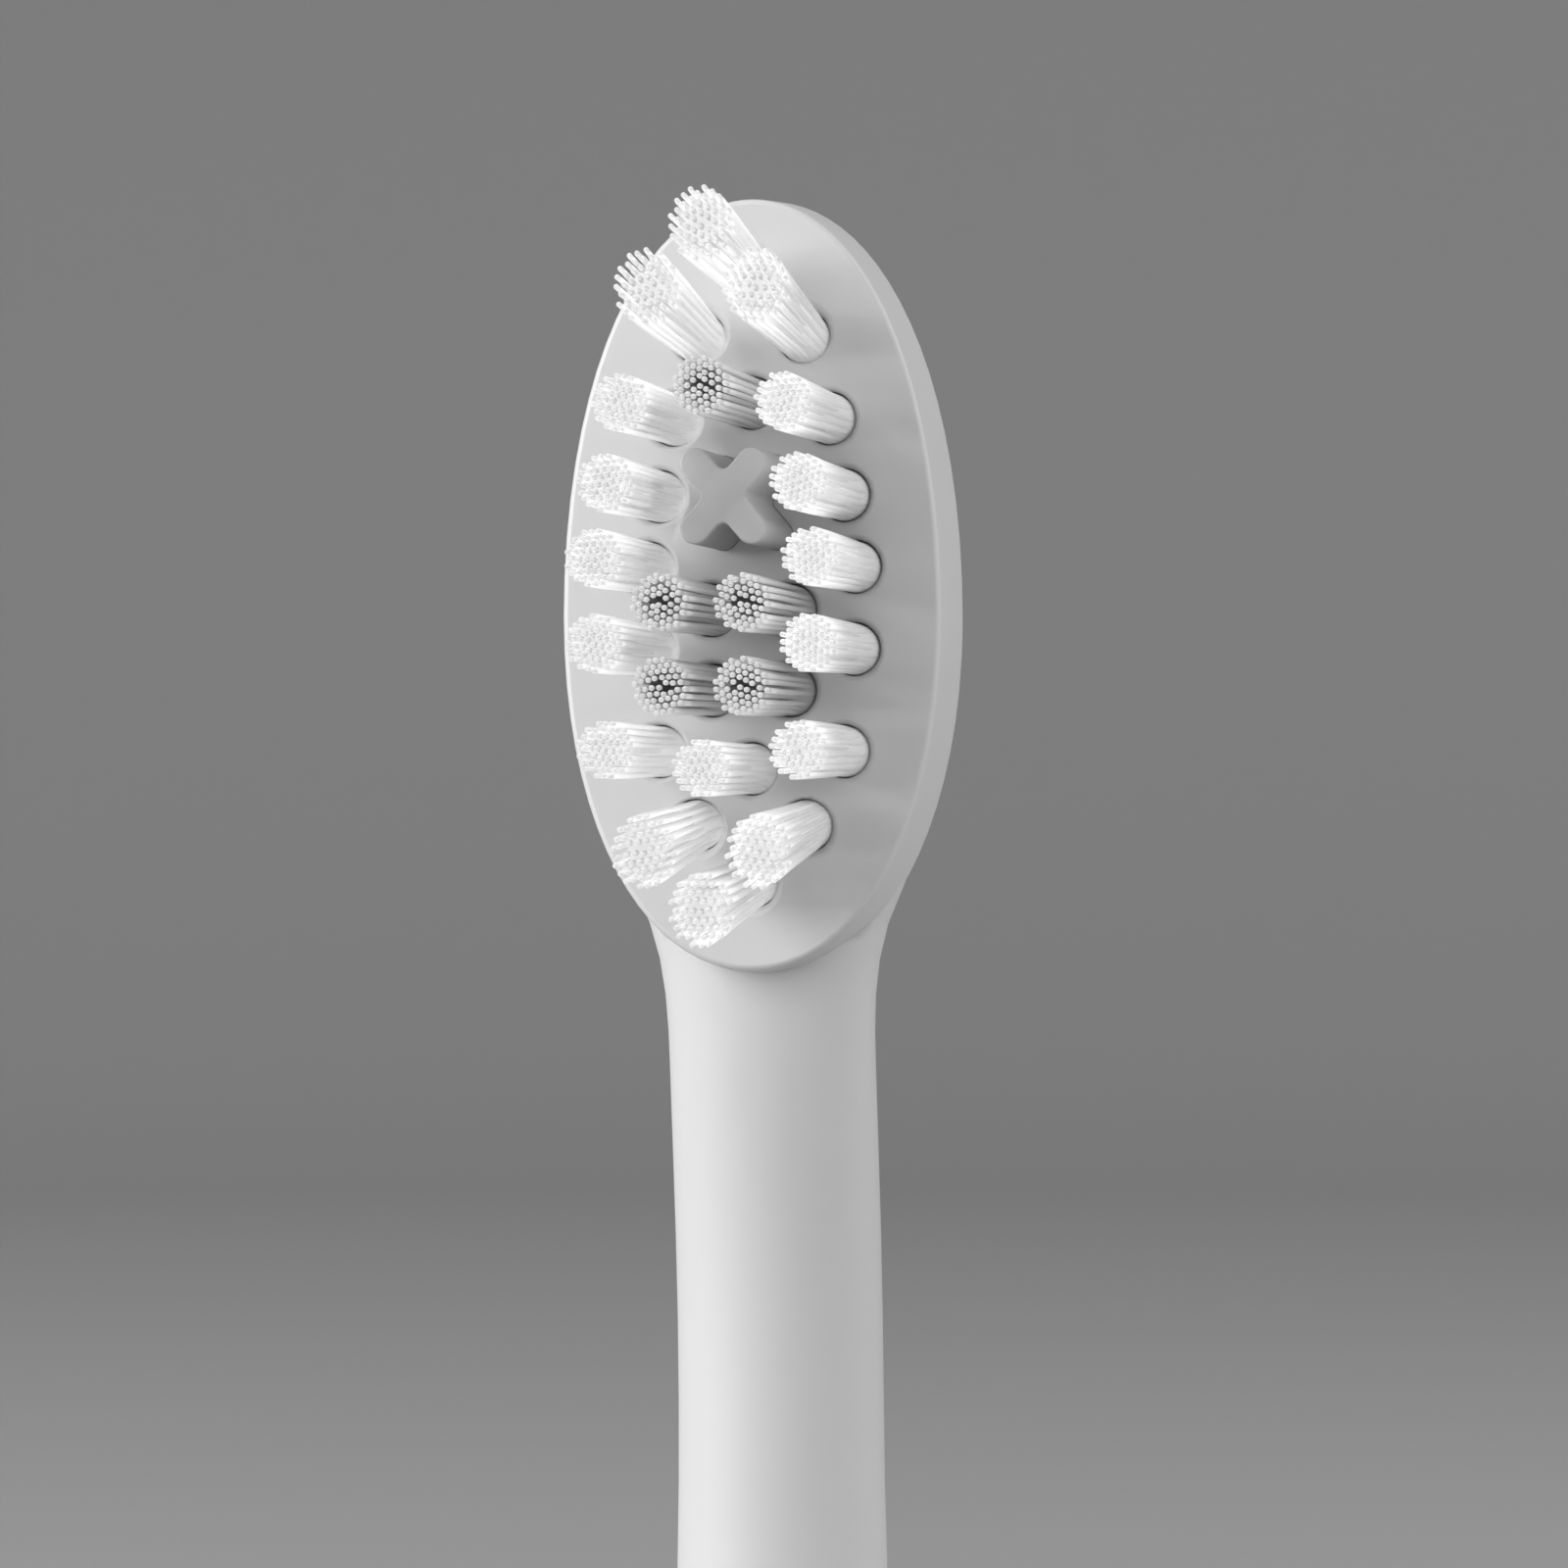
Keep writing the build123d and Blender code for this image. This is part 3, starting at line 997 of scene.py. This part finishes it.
class BRUSH_OT_inner_metal(bpy.types.Operator):
    """Finishes of the steel leaf and of the anchor wires"""

    bl_idname = "brush.inner_metal"
    bl_label = "Inner Metal"

    def execute(self, context):
        finish = context.scene.brush_finish
        metals = {
            "spring_clip": metal_material("spring_steel", finish.steel, roughness=0.3, line_size=9000.0),
            "tuft_anchors": metal_material("anchor_wire", finish.brass, roughness=0.34, line_size=12000.0),
        }
        for node, metal in metals.items():
            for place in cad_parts[node].material_slots:
                place.link = "OBJECT"
                place.material = metal
        return {"FINISHED"}


def soft_lamp(name, power, size, turn, lift, distance):
    """Square area lamp that looks at the brush head from a turn and a lift."""
    lamp = bpy.data.lights.new(name, "AREA")
    lamp.energy = power
    lamp.size = size
    holder = bpy.data.objects.new(name, lamp)
    turn = math.radians(turn)
    lift = math.radians(lift)
    offset = Vector((math.sin(turn) * math.cos(lift), -math.cos(turn) * math.cos(lift), math.sin(lift)))
    holder.location = LAMP_AIM + offset * distance
    holder.rotation_euler = (-offset).to_track_quat("-Z", "Y").to_euler()
    holder.visible_camera = False
    bpy.context.scene.collection.objects.link(holder)


def backdrop_material(color):
    """Matte pale paper, clear from behind so that the foot can be seen from below."""
    material = bpy.data.materials.new("backdrop_paper")
    material.use_nodes = True
    writer = ShaderWriter(material.node_tree)
    shader = writer.nodes["Principled BSDF"]
    shader.inputs["Base Color"].default_value = (*color, 1.0)
    shader.inputs["Roughness"].default_value = PAPER_ROUGHNESS
    shader.inputs["Specular IOR Level"].default_value = PAPER_SPECULAR
    clear = writer.add("ShaderNodeBsdfTransparent")
    facing = writer.add("ShaderNodeNewGeometry")
    either = writer.add("ShaderNodeMixShader", Fac=facing.outputs["Backfacing"])
    writer.feed(either.inputs[1], shader.outputs["BSDF"])
    writer.feed(either.inputs[2], clear.outputs["BSDF"])
    writer.feed(writer.nodes["Material Output"].inputs["Surface"], either.outputs["Shader"])
    return material


def studio_bowl(stage):
    """Floor and wall in one rounded bowl, open at the top and under the foot."""
    bpy.ops.object.select_all(action="DESELECT")
    depth = stage.bowl_radius
    bpy.ops.mesh.primitive_cylinder_add(
        vertices=BOWL_SIDES,
        radius=stage.bowl_radius,
        depth=depth,
        end_fill_type="NGON",
        location=(0, 0, depth / 2),
    )
    bowl = bpy.context.active_object
    bowl.name = "studio_bowl"
    bpy.ops.object.transform_apply(location=True, rotation=True, scale=True)
    select_faces(bowl, lambda polygon: polygon.normal.z > FACING)
    bpy.ops.mesh.delete(type="FACE")
    select_faces(bowl, lambda polygon: polygon.normal.z < -FACING)
    bpy.ops.mesh.bevel(offset=stage.bowl_radius * BOWL_CURVE, segments=BOWL_CURVE_STEPS, affect="EDGES")
    bpy.ops.object.mode_set(mode="OBJECT")
    floor = max(bowl.data.polygons, key=lambda polygon: polygon.area)
    floor_index = floor.index
    floor_radius = min(math.hypot(*bowl.data.vertices[index].co.xy) for index in floor.vertices)
    select_faces(bowl, lambda polygon: polygon.index == floor_index)
    bpy.ops.mesh.inset(thickness=floor_radius - stage.opening)
    bpy.ops.mesh.delete(type="FACE")
    bpy.ops.mesh.select_all(action="SELECT")
    bpy.ops.mesh.flip_normals()
    bpy.ops.object.mode_set(mode="OBJECT")
    bpy.ops.object.shade_smooth()
    bowl.data.materials.append(backdrop_material(stage.backdrop))


def studio_light(stage, scene):
    """Soft lamps and an even sky."""
    for name, (size, turn, lift, distance) in LAMPS.items():
        soft_lamp(f"{name}_lamp", getattr(stage, f"{name}_power"), size, turn, lift, distance)
    world = bpy.data.worlds.new("studio_sky")
    world.use_nodes = True
    sky = world.node_tree.nodes["Background"]
    sky.inputs["Color"].default_value = (1.0, 1.0, 1.0, 1.0)
    sky.inputs["Strength"].default_value = stage.world_strength
    scene.world = world
    scene.view_settings.view_transform = "Standard"


def place_camera(stage, scene):
    """Level camera that looks at the axis of the drive shaft from its turn, height and distance."""
    lens = bpy.data.cameras.new("camera")
    lens.sensor_width = SENSOR_WIDTH
    lens.lens = stage.lens
    lens.clip_start = CLIP_NEAR
    lens.clip_end = CLIP_FAR
    camera = bpy.data.objects.new("camera", lens)
    distance = stage.camera_distance
    turn = stage.camera_turn
    camera.location = (distance * math.sin(turn), -distance * math.cos(turn), stage.camera_height)
    camera.rotation_euler = (math.pi / 2, 0, turn)
    scene.collection.objects.link(camera)
    scene.camera = camera


class BRUSH_OT_stage(bpy.types.Operator):
    """Pale studio bowl, soft lamps and the camera"""

    bl_idname = "brush.stage"
    bl_label = "Studio Stage"

    def execute(self, context):
        scene = context.scene
        stage = scene.brush_stage
        studio_bowl(stage)
        studio_light(stage, scene)
        place_camera(stage, scene)
        return {"FINISHED"}


class BRUSH_PT_panel(bpy.types.Panel):
    """Steps that dress the brush head"""

    bl_idname = "BRUSH_PT_panel"
    bl_label = "Brush Head"
    bl_space_type = "VIEW_3D"
    bl_region_type = "UI"
    bl_category = "Brush Head"

    def draw(self, context):
        scene = context.scene
        for settings in (scene.brush_bristles, scene.brush_finish, scene.brush_stage):
            box = self.layout.box()
            for name in settings.__annotations__:
                box.prop(settings, name)
        for operator in OPERATORS:
            self.layout.operator(operator.bl_idname)


SETTINGS = {
    "brush_bristles": BristleSettings,
    "brush_finish": FinishSettings,
    "brush_stage": StageSettings,
}

OPERATORS = (
    BRUSH_OT_moulded_head,
    BRUSH_OT_bristle_tufts,
    BRUSH_OT_polishing_cross,
    BRUSH_OT_foot_fittings,
    BRUSH_OT_inner_metal,
    BRUSH_OT_stage,
)


def register():
    """Registers the settings, the operators and the panel."""
    for name, settings in SETTINGS.items():
        bpy.utils.register_class(settings)
        setattr(bpy.types.Scene, name, bpy.props.PointerProperty(type=settings))
    for operator in OPERATORS:
        bpy.utils.register_class(operator)
    bpy.utils.register_class(BRUSH_PT_panel)


def unregister():
    """Takes the classes and the settings out again."""
    bpy.utils.unregister_class(BRUSH_PT_panel)
    for operator in reversed(OPERATORS):
        bpy.utils.unregister_class(operator)
    for name, settings in SETTINGS.items():
        delattr(bpy.types.Scene, name)
        bpy.utils.unregister_class(settings)


def main():
    """Dresses the brush head step by step."""
    register()
    bpy.ops.object.select_all(action="DESELECT")
    bpy.ops.brush.moulded_head()
    bpy.ops.brush.bristle_tufts()
    bpy.ops.brush.polishing_cross()
    bpy.ops.brush.foot_fittings()
    bpy.ops.brush.inner_metal()
    bpy.ops.brush.stage()


if __name__ == "__main__":
    main()
